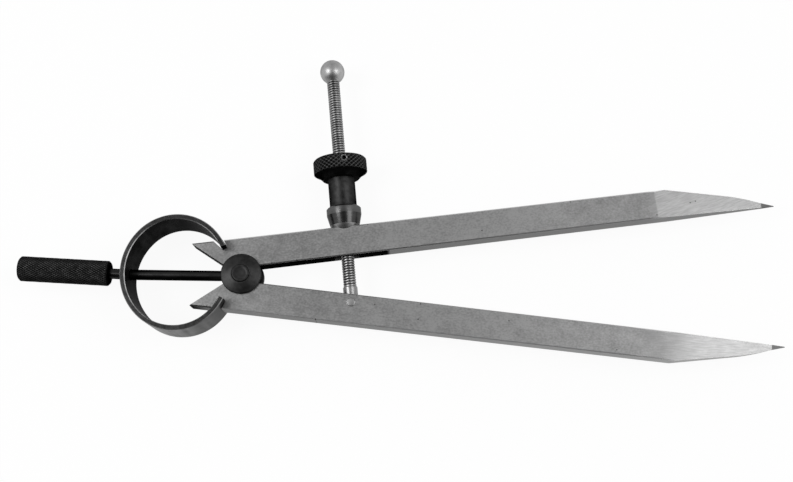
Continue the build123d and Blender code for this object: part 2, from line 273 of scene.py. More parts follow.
def turned(name, outline, steps=round_steps):
    """A closed mesh turned about its own upright axis from an outline of (radius, height) points."""
    form = bmesh.new()
    rings = []
    for radius, height in outline:
        if radius < on_axis:
            rings.append([form.verts.new((0, 0, height))] * steps)
            continue
        ring = []
        for step in range(steps):
            angle = 2 * math.pi * step / steps
            ring.append(form.verts.new((radius * math.cos(angle), radius * math.sin(angle), height)))
        rings.append(ring)
    bored = outline[0].x > on_axis
    for index in range(len(rings) if bored else len(rings) - 1):
        lower = rings[index]
        upper = rings[(index + 1) % len(rings)]
        for step in range(steps):
            corners = [lower[step], lower[(step + 1) % steps], upper[(step + 1) % steps], upper[step]]
            form.faces.new(list(dict.fromkeys(corners)))
    bmesh.ops.recalc_face_normals(form, faces=form.faces)
    return mesh_of(form, name)


def finish_off(mesh, name, body, nodes, slot, *finishes, crease=35):
    """Show a piece in place of its solids, riding with a body, with edges over the crease angle sharp."""
    for finish in finishes:
        mesh.materials.append(finish)
    mesh.shade_smooth()
    mesh.set_sharp_from_angle(angle=math.radians(crease))
    piece = put_on_show(mesh, name)
    if body:
        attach(piece, body)
    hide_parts(*nodes)
    return piece


dark_turning = steel(
    "darkened_turning", disc_grey, rough=0.42, grain=(900, 900, 900), shade=0.35, depth=0.01
)
back_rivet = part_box("fulcrum_core")[0].z
front_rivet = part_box("fulcrum_core")[1].z
back_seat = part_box("rear_disc")[1].z
front_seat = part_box("front_disc")[0].z
core_outline = [
    Vector((0, back_rivet)),
    Vector((rivet_radius, back_rivet)),
    Vector((rivet_radius, back_seat)),
    Vector((core_radius, back_seat)),
    Vector((core_radius, front_seat)),
    Vector((rivet_radius, front_seat)),
    Vector((rivet_radius, front_rivet)),
    Vector((rivet_dish_radius, front_rivet)),
    Vector((rivet_dish_floor, front_rivet - rivet_dish)),
    Vector((0, front_rivet - rivet_dish)),
]
core_mesh = turned("fulcrum_core", eased(core_outline, turned_edge))
finish_off(core_mesh, "fulcrum_core_turned", "handle", ["fulcrum_core"], "dark_steel", dark_turning)

for name, seat, face in (("rear_disc", back_seat, -1), ("front_disc", front_seat, 1)):
    disc_outline = [
        Vector((rivet_radius, seat)),
        Vector((disc_radius, seat)),
        Vector((disc_radius, seat + face * disc_rim)),
        Vector((disc_land_radius, seat + face * disc_thick)),
        Vector((rivet_radius, seat + face * disc_thick)),
    ]
    disc_mesh = turned(name, eased(disc_outline, 2 * turned_edge))
    finish_off(disc_mesh, name + "_turned", "handle", [name], "dark_steel", dark_turning)

# Legs
# Two flat bars of hardened steel, ground with a fine grain along them and now worn and specked. Their
# points are ground again by hand, brighter and with slanting marks, and their long edges are broken. Places
# in their finish are in millimetres from the fulcrum, with 1 for the upper leg and -1 for the lower.
leg_grey = 0.275
leg_rough = 0.40
leg_grain = (1700, 2300, 2300)
leg_ease = 0.06 * mm
# Along a leg its tone is worn brighter at the middle by handling, and painted darker towards the point as shade.
leg_wear_and_shade_reach = 120.0
leg_wear_and_shade = ((0.15, 0.41), (0.36, 0.64), (0.72, 0.64), (0.94, 0.34))
leg_patches = 130.0
patch_share = 0.3
speck_spacing = 240.0
speck_size = 0.045
speck_rarity = 0.8
speck_grey = 0.09
point_tones = ((0.36, 0.2604), (0.64, 0.3224))
point_spans = {1: (114.0, 117.0), -1: (106.0, 124.0)}
lap_spans = {1: (116.2, 116.8), -1: (116.0, 127.0)}
point_slants = {1: 0.25, -1: 0.1}
point_grain = (350, 3200, 600)
needle_start = 146.3
needle_grey = 0.09
shoulder_reach = 119.5 * mm
shoulder_ease = 6 * mm
taper_reach = 140.8 * mm
taper_ease = 4 * mm
corner_slack = 0.5 * mm
upright_share = 0.9
merge_reach = 0.001 * mm
flat_angle = math.radians(0.4)
sharp_angle = math.radians(30)
side_level = 0.2
face_level = 0.97
# The side faces are the same steel as the face, given greys of painted shade and light: darkest towards the
# fulcrum, lighter towards the point and on it.
side_shade_span = (10.0, 110.0)
side_shade_greys = {1: (0.16, 0.22), -1: (0.2, 0.36)}
point_side_shade_greys = {1: 0.25, -1: 0.45}
# The broken edges are painted bright as a highlight, brightest on the point.
edge_highlight_grey = 0.5
point_edge_highlight_grey = 0.95
in_millimetres = (1000, 1000, 1000)
leg_tint = 0.6
dark_band_grey = 0.018
gap_span = (41.5, 40.5)
gap_width = 3.0
horn_spans = {1: (-2.5, -3.5), -1: (-8.0, -13.0)}
mounts = {mount["name"]: mount for mount in frame["record"]["mounts"]}
leg_slope = math.atan2(mounts["upper_point"]["axis"][1], mounts["upper_point"]["axis"][0])


def rounded_shoulders(form):
    """Round the corners of a leg's outline at its shoulder and at the end of its taper."""
    leg_direction = Vector((math.cos(leg_slope), math.sin(leg_slope)))
    for corner_reach, size in ((shoulder_reach, shoulder_ease), (taper_reach, taper_ease)):
        corners = []
        for edge in form.edges:
            start, end = (vert.co for vert in edge.verts)
            upright = abs(start.z - end.z) > upright_share * (start - end).length
            middle = (start + end) / 2
            reach = middle.x * leg_direction.x + abs(middle.y) * leg_direction.y
            if upright and abs(reach - corner_reach) < corner_slack:
                corners.append(edge)
        bmesh.ops.bevel(
            form, geom=corners, offset=size, segments=8, profile=0.5, affect="EDGES", clamp_overlap=True
        )


def dressed_copy(node, ease, reshape):
    """A clean copy of a solid's mesh, reshaped, with its flat faces whole and its edges a little rounded."""
    form = bmesh.new()
    form.from_mesh(frame["nodes"][node].data)
    bmesh.ops.remove_doubles(form, verts=form.verts, dist=merge_reach)
    bmesh.ops.dissolve_limit(form, angle_limit=flat_angle, verts=form.verts, edges=form.edges)
    reshape(form)
    piece = put_on_show(mesh_of(form, node), "rough_" + node)
    bevel = piece.modifiers.new("edges", "BEVEL")
    bevel.width = ease
    bevel.segments = 2
    bevel.limit_method = "ANGLE"
    bevel.angle_limit = sharp_angle
    return settled(piece)


def settled(piece):
    """The mesh that a piece's modifiers give, in place of the piece."""
    mesh = bpy.data.meshes.new_from_object(piece.evaluated_get(bpy.context.evaluated_depsgraph_get()))
    bpy.data.objects.remove(piece)
    return mesh


def mixed(tree, share, first, second):
    """Output for a blend of two colours, each given as a grey or as another node's output."""
    node = tree.nodes.new("ShaderNodeMix")
    node.data_type = "RGBA"
    tree.links.new(share, node.inputs["Factor"])
    colour_inputs = (node.inputs[6], node.inputs[7])
    for socket, value in zip(colour_inputs, (first, second)):
        feed(tree, socket, (value, value, value, 1) if isinstance(value, float) else value)
    return node.outputs[2]


def wear_and_shade_in(tree, place, reach):
    """Vary a leg's tone in patches and along its length: worn brighter at its middle by handling, and painted
    darker towards its point as shade.
    """
    math_node = math_in(tree)
    wear_and_shade = link_shader(tree, "ShaderNodeValToRGB", Fac=math_node("DIVIDE", reach, leg_wear_and_shade_reach))
    set_ramp(wear_and_shade, leg_wear_and_shade)
    patches = link_shader(tree, "ShaderNodeTexNoise", Vector=place, Scale=leg_patches, Detail=2.0)
    patch = math_node("SUBTRACT", patches.outputs["Fac"], 0.5)
    tone = tree.nodes["tone"]
    marks = math_node("MULTIPLY_ADD", patch, patch_share, tone.inputs["Fac"].links[0].from_socket)
    marks = math_node("ADD", marks, math_node("SUBTRACT", wear_and_shade.outputs["Color"], 0.5))
    tree.links.new(marks, tone.inputs["Fac"])


def point_marks(tree, place, side):
    """Colour of a leg's ground point, with its slanting marks."""
    slanted = along_axes(tree, place, side * leg_slope + point_slants[side], point_grain)
    strokes = link_shader(tree, "ShaderNodeTexNoise", Vector=slanted, Scale=1.0, Detail=3.0)
    bright = link_shader(tree, "ShaderNodeValToRGB", Fac=strokes.outputs["Fac"])
    set_ramp(bright, point_tones)
    return bright.outputs["Color"]


def on_speck(tree, place):
    """Output that is 1 on a leg's small dark specks, and 0 between them."""
    math_node = math_in(tree)
    specks = link_shader(tree, "ShaderNodeTexVoronoi", Vector=place, Scale=speck_spacing)
    specks.voronoi_dimensions = "2D"
    rare = math_node("GREATER_THAN", specks.outputs["Color"], speck_rarity)
    return math_node("MULTIPLY", rare, math_node("LESS_THAN", specks.outputs["Distance"], speck_size))


def in_dark_band(tree, reach, offset, side):
    """Output that is 1 on a darker band of a leg's sides, between the legs short of their gap's end and round the
    horn.
    """
    math_node = math_in(tree)
    inside = math_node("LESS_THAN", math_node("MULTIPLY", offset, side), gap_width)
    in_gap = math_node("MULTIPLY", rising(tree, reach, *gap_span), inside)
    return math_node("MAXIMUM", in_gap, rising(tree, reach, *horn_spans[side]))


def leg_steel(name, side):
    """Ground steel of one leg, with its brighter point. Side is 1 for the upper leg and -1 for the lower."""
    slope = side * leg_slope
    finish = steel(name, leg_grey, leg_rough, leg_grain, turn=slope, shade=0.25, depth=0.008)
    tree = finish.node_tree
    math_node = math_in(tree)
    surface = tree.nodes["Principled BSDF"]
    place = tree.nodes.new("ShaderNodeTexCoord").outputs["Object"]
    along = along_axes(tree, place, slope, in_millimetres)
    reach, offset, _ = link_shader(tree, "ShaderNodeSeparateXYZ", Vector=along).outputs
    normal = tree.nodes.new("ShaderNodeNewGeometry").outputs["Normal"]
    upward = link_shader(tree, "ShaderNodeSeparateXYZ", Vector=normal).outputs["Z"]
    level = math_node("ABSOLUTE", upward)
    off_face = math_node("LESS_THAN", level, face_level)
    on_side = math_node("LESS_THAN", level, side_level)
    on_edge = math_node("MULTIPLY", off_face, math_node("GREATER_THAN", level, side_level))
    wear_and_shade_in(tree, place, reach)
    on_point = rising(tree, reach, *point_spans[side])
    colour = mixed(tree, on_point, tree.nodes["tone"].outputs["Color"], point_marks(tree, place, side))
    # Painted shade and light on the side faces.
    side_shade_tone = rising(tree, reach, *side_shade_span, *side_shade_greys[side])
    colour = mixed(tree, on_side, colour, mixed(tree, on_point, side_shade_tone, point_side_shade_greys[side]))
    # Painted highlight along the broken edges.
    colour = mixed(tree, on_edge, colour, mixed(tree, on_point, edge_highlight_grey, point_edge_highlight_grey))
    colour = mixed(tree, math_node("GREATER_THAN", reach, needle_start), colour, needle_grey)
    colour = mixed(tree, on_speck(tree, place), colour, speck_grey)
    # On this band the colour and the reflection both go dark.
    on_dark_band = math_node("MULTIPLY", on_side, in_dark_band(tree, reach, offset, side))
    tree.links.new(mixed(tree, on_dark_band, colour, dark_band_grey), surface.inputs["Base Color"])
    tree.links.new(mixed(tree, on_dark_band, leg_tint, dark_band_grey), surface.inputs["Specular Tint"])
    flat_face = tree.nodes.new("ShaderNodeCombineXYZ")
    tree.links.new(math_node("SIGN", upward), flat_face.inputs["Z"])
    as_ground = math_node("MAXIMUM", rising(tree, reach, *lap_spans[side]), off_face)
    relief = surface.inputs["Normal"].links[0].from_node
    tree.links.new(mixed(tree, as_ground, flat_face.outputs[0], normal), relief.inputs["Normal"])
    return finish


for name, side in (("upper_leg", 1), ("lower_leg", -1)):
    leg_mesh = dressed_copy(name, leg_ease, rounded_shoulders)
    leg_finish = leg_steel(name + "_ground", side)
    finish_off(leg_mesh, name + "_bar", name, [name], "leg_steel", leg_finish, crease=0.3)

# Bow spring
# One flat strip of spring steel, bent to an oval with a hole at its crown for the handle's stem. Its slotted
# ends straddle the legs and bear in their notches. It is dark inside and brushed outside, with painted shade
# darkening its outer face towards the legs, and its corners are painted bright as a highlight, partly worn.
# It is cut into two halves along the line of the handle's stem.
bow_centre = -17.46 * mm
bow_half_length = 14.4 * mm
bow_half_width = 15.38 * mm
bow_side_radius = 13.7 * mm
strip_thick = 1.35 * mm
strip_width = 14.3 * mm
strip_corner = 0.2 * mm
strip_seat_offset = 7.65 * mm
prong_offset = 7.1 * mm
leg_slot = 6.6 * mm
stem_hole_radius = 1.7 * mm
stem_lean = math.radians(0.85)
bow_stations = 150
seam_merge = 0.002 * mm
strip_inner_grey = 0.035
strip_outer_grey = 0.20
strip_edge_grey = 0.035
corner_wear_and_highlight_grey = 0.24
inner_corner_wear_and_highlight_grey = 0.42
leg_shade_start = -22 * mm
leg_shade_end = -3 * mm
strip_edge_grain = (1100, 1100, 1100)
corner_grain = (300, 300, 300)
bow_height = (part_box("bow_spring")[0].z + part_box("bow_spring")[1].z) / 2
bow_side_shift = bow_half_width - bow_side_radius
bow_end_radius = (bow_half_length**2 + bow_side_shift**2 - bow_side_radius**2) / (
    2 * (bow_half_length - bow_side_radius)
)
bow_end_shift = bow_end_radius - bow_half_length
bow_join = math.atan2(bow_side_shift, bow_end_shift)


def bow_point(heading, outward):
    """Point of the bow whose outward side faces this heading, this far outside the middle of the strip."""
    across = Vector((math.cos(heading), math.sin(heading)))
    if abs(across.y) > math.sin(bow_join):
        centre = Vector((bow_centre, math.copysign(bow_side_shift, across.y)))
        radius = bow_side_radius
    else:
        centre = Vector((bow_centre - math.copysign(bow_end_shift, across.x), 0))
        radius = bow_end_radius
    return centre + across * (radius + outward)


def cut_away(piece, cutter):
    """Cut one shape out of a piece, and clear the cutter away."""
    cut = piece.modifiers.new("cut", "BOOLEAN")
    cut.object = cutter
    cut.solver = "EXACT"
    name = piece.name
    mesh = settled(piece)
    bpy.data.objects.remove(cutter)
    return put_on_show(mesh, name)


def box_cutter(size, place):
    """A block of this size, centred and turned as the placing matrix says."""
    form = bmesh.new()
    bmesh.ops.create_cube(form, size=1, matrix=place @ Matrix.Diagonal((*size, 1)))
    return put_on_show(mesh_of(form, "cutter"), "cutter")


def rod_cutter(radius, length, place):
    """A rod about the placing matrix's upright axis, centred on it."""
    half = length / 2
    outline = [Vector((0, -half)), Vector((radius, -half)), Vector((radius, half)), Vector((0, half))]
    mesh = turned("cutter", outline, 48)
    mesh.transform(place)
    return put_on_show(mesh, "cutter")


def set_along(place, direction):
    """A matrix that sets a turned piece down at a place, with its upright axis along this direction."""
    return Matrix.Translation(place) @ direction.to_track_quat("Z", "X").to_matrix().to_4x4()


half_thick = strip_thick / 2
half_width = strip_width / 2
strip_section = [
    (half_thick, -half_width + strip_corner),
    (half_thick, half_width - strip_corner),
    (half_thick - strip_corner, half_width),
    (-half_thick + strip_corner, half_width),
    (-half_thick, half_width - strip_corner),
    (-half_thick, -half_width + strip_corner),
    (-half_thick + strip_corner, -half_width),
    (half_thick - strip_corner, -half_width),
]
inner_face, outer_face, strip_edge, outer_corner, inner_corner = range(5)
section_finish = [
    outer_face,
    outer_corner,
    strip_edge,
    inner_corner,
    inner_face,
    inner_corner,
    strip_edge,
    outer_corner,
]
first_heading = math.asin(prong_offset / bow_end_radius)
form = bmesh.new()
rings = []
for station in range(bow_stations + 1):
    heading = first_heading + (2 * math.pi - 2 * first_heading) * station / bow_stations
    ring = []
    for outward, height in strip_section:
        ring.append(form.verts.new((*bow_point(heading, outward), bow_height + height)))
    rings.append(ring)
for lower, upper in zip(rings, rings[1:]):
    for index, finish_index in enumerate(section_finish):
        after = (index + 1) % len(strip_section)
        face = form.faces.new((lower[index], lower[after], upper[after], upper[index]))
        face.material_index = finish_index
for ring in (rings[0], rings[-1]):
    form.faces.new(ring).material_index = strip_edge
bmesh.ops.recalc_face_normals(form, faces=form.faces)
bow_mesh = mesh_of(form, "bow")
spring_finishes = [
    steel(
        "spring_inner", strip_inner_grey, rough=0.45, grain=(400, 400, 90), shade=0.4, depth=0.01, edge=0.3
    ),
    steel("spring_outer", strip_outer_grey, rough=0.38, grain=(700, 700, 30), shade=0.95, depth=0.012),
    steel(
        "spring_edge", strip_edge_grey, rough=0.40, grain=strip_edge_grain, shade=0.45, depth=0.008, edge=0.3
    ),
    # The corners are painted bright as a highlight, partly worn, brighter on the inner corners.
    steel("spring_corner_wear_and_highlight", corner_wear_and_highlight_grey, rough=0.35, grain=corner_grain, shade=0.3, depth=0.004),
    steel("spring_inner_corner_wear_and_highlight", inner_corner_wear_and_highlight_grey, rough=0.35, grain=corner_grain, shade=0.7, depth=0.004),
]
# Painted shade: the outer face darkens towards the legs, to the inner face's grey.
outer = spring_finishes[outer_face].node_tree
outer_place = outer.nodes.new("ShaderNodeTexCoord").outputs["Object"]
outer_reach = link_shader(outer, "ShaderNodeSeparateXYZ", Vector=outer_place).outputs["X"]
shade_near_leg = rising(outer, outer_reach, leg_shade_start, leg_shade_end)
outer_tone = mixed(outer, shade_near_leg, outer.nodes["tone"].outputs["Color"], strip_inner_grey)
outer.links.new(outer_tone, outer.nodes["Principled BSDF"].inputs["Base Color"])
for finish in spring_finishes:
    bow_mesh.materials.append(finish)
bow = put_on_show(bow_mesh, "bow")
for side in (1, -1):
    seat_heading = side * math.asin(strip_seat_offset / bow_end_radius)
    seat = bow_point(seat_heading, 0)
    slot_place = Matrix.Translation((*seat, bow_height)) @ Matrix.Rotation(seat_heading, 4, "Z")
    slot_place = slot_place @ Matrix.Translation((0, -side * leg_slot / 2, 0))
    bow = cut_away(bow, box_cutter((leg_slot, leg_slot, leg_slot), slot_place))
stem_along = Vector((-math.cos(stem_lean), math.sin(stem_lean), 0))
crown = Vector((bow_centre - bow_half_length, 0, bow_height))
hole_place = set_along((0, 0, bow_height), stem_along) @ Matrix.Translation((0, 0, crown.length))
bow = cut_away(bow, rod_cutter(stem_hole_radius, 10 * strip_thick, hole_place))
for name, body, side in (("bow_upper_half", "upper_leg", 1), ("bow_lower_half", "lower_leg", -1)):
    form = bmesh.new()
    form.from_mesh(bow.data)
    bmesh.ops.remove_doubles(form, verts=form.verts, dist=seam_merge)
    split = bmesh.ops.bisect_plane(
        form,
        geom=form.verts[:] + form.edges[:] + form.faces[:],
        plane_co=(0, 0, 0),
        plane_no=stem_along.cross(Vector((0, 0, 1))) * side,
        clear_inner=True,
    )
    rim = [item for item in split["geom_cut"] if isinstance(item, bmesh.types.BMEdge)]
    bmesh.ops.holes_fill(form, edges=rim)
    half = finish_off(mesh_of(form, name), name, None, ["bow_spring"], "spring_steel", *spring_finishes)
    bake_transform(half)
bpy.data.objects.remove(bow)

# Handle
# A thin black rod that is screwed into the core, runs through the bow's hole and carries a straight grip.
# The grip is blackened steel with a fine diamond knurl rolled into it, worn lighter along its ridges.
stem_grey = 0.033
grip_grey = 0.0095
grip_radius = 3.5 * mm
grip_length = 25.1 * mm
grip_bore_radius = 1.5 * mm
grip_bore_depth = 14 * mm
grip_edge = 0.45 * mm
grip_knurl_count = 34
grip_knurl_pitch = 1.13 * mm
grip_knurl_depth = 0.16 * mm
grip_ridge_gain = 6
grip_ridge_start = 0.5
knurl_flat = 0.3
knurl_fineness = 8
no_radius = 1e-7

black_rod = steel(
    "blackened_rod", stem_grey, rough=0.3, grain=(300, 900, 900), shade=0.3, depth=0.01, edge=0.03
)
for stem_slot in frame["nodes"]["handle_stem"].material_slots:
    stem_slot.material = black_rod


def geometry_tree(name, *sizes):
    """A geometry node tree with these sizes as inputs, its input node, and its own Math function."""
    tree = bpy.data.node_groups.new(name, "GeometryNodeTree")
    tree.interface.new_socket("Piece", in_out="INPUT", socket_type="NodeSocketGeometry")
    for size in sizes:
        tree.interface.new_socket(size, in_out="INPUT", socket_type="NodeSocketFloat")
    tree.interface.new_socket("Finish", in_out="INPUT", socket_type="NodeSocketMaterial")
    tree.interface.new_socket("Piece", in_out="OUTPUT", socket_type="NodeSocketGeometry")
    return tree, tree.nodes.new("NodeGroupInput"), math_in(tree)


def cut_to(tree, start, math_node, point, limit, mark):
    """Finish a tree that turns a bar down to a limit radius, and keeps a toning mark on each point."""
    x, y, z, radius, _ = point
    share = math_node("DIVIDE", math_node("MINIMUM", radius, limit), math_node("MAXIMUM", radius, no_radius))
    place = tree.nodes.new("ShaderNodeCombineXYZ")
    tree.links.new(math_node("MULTIPLY", x, share), place.inputs["X"])
    tree.links.new(math_node("MULTIPLY", y, share), place.inputs["Y"])
    tree.links.new(z, place.inputs["Z"])
    move = tree.nodes.new("GeometryNodeSetPosition")
    tree.links.new(start.outputs["Piece"], move.inputs["Geometry"])
    tree.links.new(place.outputs[0], move.inputs["Position"])
    keep = tree.nodes.new("GeometryNodeStoreNamedAttribute")
    keep.inputs["Name"].default_value = "wear_and_shade_mark"
    tree.links.new(move.outputs[0], keep.inputs["Geometry"])
    tree.links.new(mark, keep.inputs["Value"])
    whole = tree.nodes.new("GeometryNodeRealizeInstances")
    tree.links.new(keep.outputs[0], whole.inputs[0])
    dress = tree.nodes.new("GeometryNodeSetMaterial")
    tree.links.new(whole.outputs[0], dress.inputs["Geometry"])
    tree.links.new(start.outputs["Finish"], dress.inputs["Material"])
    end = tree.nodes.new("NodeGroupOutput")
    tree.links.new(dress.outputs[0], end.inputs[0])


def surface_place(tree, math_node):
    """Outputs for a point's place, its distance from the upright axis and its share of a turn round it."""
    place = tree.nodes.new("ShaderNodeSeparateXYZ")
    tree.links.new(tree.nodes.new("GeometryNodeInputPosition").outputs[0], place.inputs[0])
    x, y, z = place.outputs
    radius = math_node("SQRT", math_node("ADD", math_node("MULTIPLY", x, x), math_node("MULTIPLY", y, y)))
    return x, y, z, radius, math_node("DIVIDE", math_node("ARCTAN2", y, x), 2 * math.pi)


knurl, knurl_in, knurl_math = geometry_tree("diamond knurl", "Radius", "Count", "Pitch", "Depth", "Flat")
knurl_point = surface_place(knurl, knurl_math)
x, y, z, radius, turn = knurl_point
round_share = knurl_math("MULTIPLY", turn, knurl_in.outputs["Count"])
long_share = knurl_math("DIVIDE", z, knurl_in.outputs["Pitch"])
ridges = []
for operation in ("ADD", "SUBTRACT"):
    line = knurl_math(operation, round_share, long_share)
    ridges.append(knurl_math("MULTIPLY", knurl_math("PINGPONG", line, 0.5), 2))
wall = knurl_math("SUBTRACT", 1, knurl_in.outputs["Flat"])
pit = knurl_math("MINIMUM", knurl_math("DIVIDE", knurl_math("MINIMUM", *ridges), wall), 1)
pit_cut = knurl_math("MULTIPLY", pit, knurl_in.outputs["Depth"])
knurl_limit = knurl_math("SUBTRACT", knurl_in.outputs["Radius"], pit_cut)
deepest = knurl_math("SUBTRACT", knurl_in.outputs["Radius"], knurl_in.outputs["Depth"])
on_knurl = knurl_math("GREATER_THAN", radius, deepest)
ridge_mark = knurl_math("MULTIPLY", knurl_math("SUBTRACT", 1, pit), on_knurl)
cut_to(knurl, knurl_in, knurl_math, knurl_point, knurl_limit, ridge_mark)


def mark_toned(finish, gain, start):
    """Multiply a finish's grey by this gain where the mark is full, and by less down to a start. It lightens a
    knurl's worn ridges and paints shade into a thread's valleys.
    """
    tree = finish.node_tree
    mark = tree.nodes.new("ShaderNodeAttribute")
    mark.attribute_name = "wear_and_shade_mark"
    toned = tree.nodes.new("ShaderNodeVectorMath")
    toned.operation = "SCALE"
    tree.links.new(tree.nodes["tone"].outputs["Color"], toned.inputs[0])
    tree.links.new(rising(tree, mark.outputs["Fac"], start, 1, 1, gain), toned.inputs["Scale"])
    tree.links.new(toned.outputs[0], tree.nodes["Principled BSDF"].inputs["Base Color"])


def worked(mesh, tree, finish, sizes):
    """The mesh that a geometry node tree makes of a turned one, with its inputs set by identifier."""
    piece = put_on_show(mesh, "rough_" + mesh.name)
    work = piece.modifiers.new("work", "NODES")
    work.node_group = tree
    for item in tree.interface.items_tree:
        if item.in_out == "INPUT" and item.name in sizes:
            work[item.identifier] = sizes[item.name]
        elif item.in_out == "INPUT" and item.name == "Finish":
            work[item.identifier] = finish
    return settled(piece)


def rows(start, end, count):
    """Points that divide the line from start to end into this many rows, without its last."""
    return [start.lerp(end, share / count) for share in range(count)]


blackened = steel(
    "blackened_knurl", grip_grey, rough=0.38, grain=(900, 900, 900), shade=0.4, depth=0.01, edge=0.1
)
mark_toned(blackened, grip_ridge_gain, grip_ridge_start)
grip_rows = round(grip_length / grip_knurl_pitch * knurl_fineness)
grip_outline = [
    Vector((0, grip_bore_depth)),
    Vector((grip_bore_radius, grip_bore_depth)),
    Vector((grip_bore_radius, 0)),
    Vector((grip_radius - grip_edge, 0)),
    *rows(Vector((grip_radius - grip_edge, 0)), Vector((grip_radius, grip_edge)), 4)[1:],
    *rows(Vector((grip_radius, grip_edge)), Vector((grip_radius, grip_length - grip_edge)), grip_rows),
    *rows(Vector((grip_radius, grip_length - grip_edge)), Vector((grip_radius - grip_edge, grip_length)), 4),
    Vector((grip_radius - grip_edge, grip_length)),
    Vector((0, grip_length)),
]
grip_mesh = turned("handle_grip", grip_outline, grip_knurl_count * knurl_fineness)
grip_sizes = {
    "Radius": grip_radius,
    "Count": grip_knurl_count,
    "Pitch": grip_knurl_pitch,
    "Depth": grip_knurl_depth,
    "Flat": knurl_flat,
}
grip_mesh = worked(grip_mesh, knurl, blackened, grip_sizes)
grip_mount = mounts["handle_grip"]
grip_along = Vector(grip_mount["axis"]).normalized()
grip_start = Vector(grip_mount["pos_m"]) - grip_along * grip_length / 2
grip_mesh.transform(set_along(grip_start, grip_along))
finish_off(grip_mesh, "handle_grip_knurled", "handle", ["handle_grip"], "knurled_steel")

# Adjusting screw
# A bright rod whose smooth round eye turns on a pin in the lower leg. A fine thread runs from the eye to the
# ball that is fixed on its far end, which keeps the nut from running off.
joints = {joint["name"]: joint for joint in frame["joints"]}
pin_place = Vector(joints["screw_swing"]["pos_m"])
screw_up = Vector(joints["nut_slide"]["axis"]).normalized()
screw_turn = math.atan2(screw_up.y, screw_up.x)
screw_place = set_along(pin_place, screw_up)
eye_radius = 2.0 * mm
eye_height = 4.85 * mm
eye_shoulder = 0.25 * mm
ball_height = 68.35 * mm
ball_radius = 3.52 * mm
thread_pitch = 0.725 * mm
thread_depth = 0.26 * mm
thread_radius = 1.8 * mm
thread_flat = 0.45
thread_fineness = 8
thread_valley_shade_gain = 0.12
thread_valley_shade_start = 0.2
pin_hole_radius = 1.225 * mm
pin_radius = 1.175 * mm
pin_dome = 0.15 * mm
pin_dome_form = ((1, 1), (0.85, 0.45), (0.6, 0.15), (0.3, 0))
pin_grey = 0.27
thread_grey = 0.26
ball_grey = 0.36

thread, thread_in, thread_math = geometry_tree("screw thread", "Radius", "Pitch", "Depth", "Flat", "Start")
thread_point = surface_place(thread, thread_math)
x, y, z, radius, turn = thread_point
wind = thread_math("SUBTRACT", thread_math("DIVIDE", z, thread_in.outputs["Pitch"]), turn)
flank = thread_math("MULTIPLY", thread_math("PINGPONG", wind, 0.5), 2)
flank = thread_math("MAXIMUM", thread_math("SUBTRACT", flank, thread_in.outputs["Flat"]), 0)
flank = thread_math("DIVIDE", flank, thread_math("SUBTRACT", 1, thread_in.outputs["Flat"]))
past_start = thread_math("SUBTRACT", z, thread_in.outputs["Start"])
started = thread_math("DIVIDE", past_start, thread_in.outputs["Pitch"])
started = thread_math("MINIMUM", thread_math("MAXIMUM", started, 0), 1)
valley_mark = thread_math("MULTIPLY", flank, started)
thread_cut = thread_math("MULTIPLY", valley_mark, thread_in.outputs["Depth"])
thread_limit = thread_math("SUBTRACT", thread_in.outputs["Radius"], thread_cut)
below_thread = thread_math("LESS_THAN", z, thread_in.outputs["Start"])
thread_limit = thread_math("ADD", thread_limit, below_thread)
cut_to(thread, thread_in, thread_math, thread_point, thread_limit, valley_mark)

thread_turning = steel(
    "thread_turning", thread_grey, rough=0.34, grain=(300, 300, 300), shade=0.3, depth=0.01
)
# Painted shade: the thread's valleys are darkened.
mark_toned(thread_turning, thread_valley_shade_gain, thread_valley_shade_start)
eye_arc = [math.pi / 2 * step / 10 for step in range(10)]
thread_rows = round((ball_height - eye_height) / thread_pitch * thread_fineness)
screw_outline = [
    *[Vector((eye_radius * math.sin(angle), -eye_radius * math.cos(angle))) for angle in eye_arc],
    Vector((eye_radius, 0)),
    Vector((eye_radius, eye_height - eye_shoulder)),
    *rows(Vector((thread_radius, eye_height)), Vector((thread_radius, ball_height)), thread_rows),
    Vector((thread_radius, ball_height)),
    Vector((0, ball_height)),
]
screw_mesh = turned("adjusting_screw", screw_outline, 40)
screw_sizes = {
    "Radius": thread_radius,
    "Pitch": thread_pitch,
    "Depth": thread_depth,
    "Flat": thread_flat,
    "Start": eye_height,
}
screw_mesh = worked(screw_mesh, thread, thread_turning, screw_sizes)
screw_mesh.transform(screw_place)
screw = put_on_show(screw_mesh, "screw")
screw = cut_away(screw, rod_cutter(pin_hole_radius, 4 * eye_radius, Matrix.Translation(pin_place)))
screw_mesh = screw.data
bpy.data.objects.remove(screw)
finish_off(screw_mesh, "adjusting_screw_threaded", "screw", ["adjusting_screw"], "bright_steel")

ball_turning = steel("ball_turning", ball_grey, rough=0.42, grain=(400, 400, 400), shade=0.35, depth=0.012)
ball_steps = 40
ball_outline = []
for step in range(ball_steps + 1):
    angle = math.pi * step / ball_steps
    ball_outline.append(Vector((ball_radius * math.sin(angle), ball_height - ball_radius * math.cos(angle))))
ball_outline[0] = Vector((0, ball_outline[0].y))
ball_outline[-1] = Vector((0, ball_outline[-1].y))
ball_mesh = turned("screw_ball", ball_outline)
ball_mesh.transform(screw_place)
finish_off(ball_mesh, "screw_ball_turned", "screw", ["screw_ball"], "bright_steel", ball_turning)

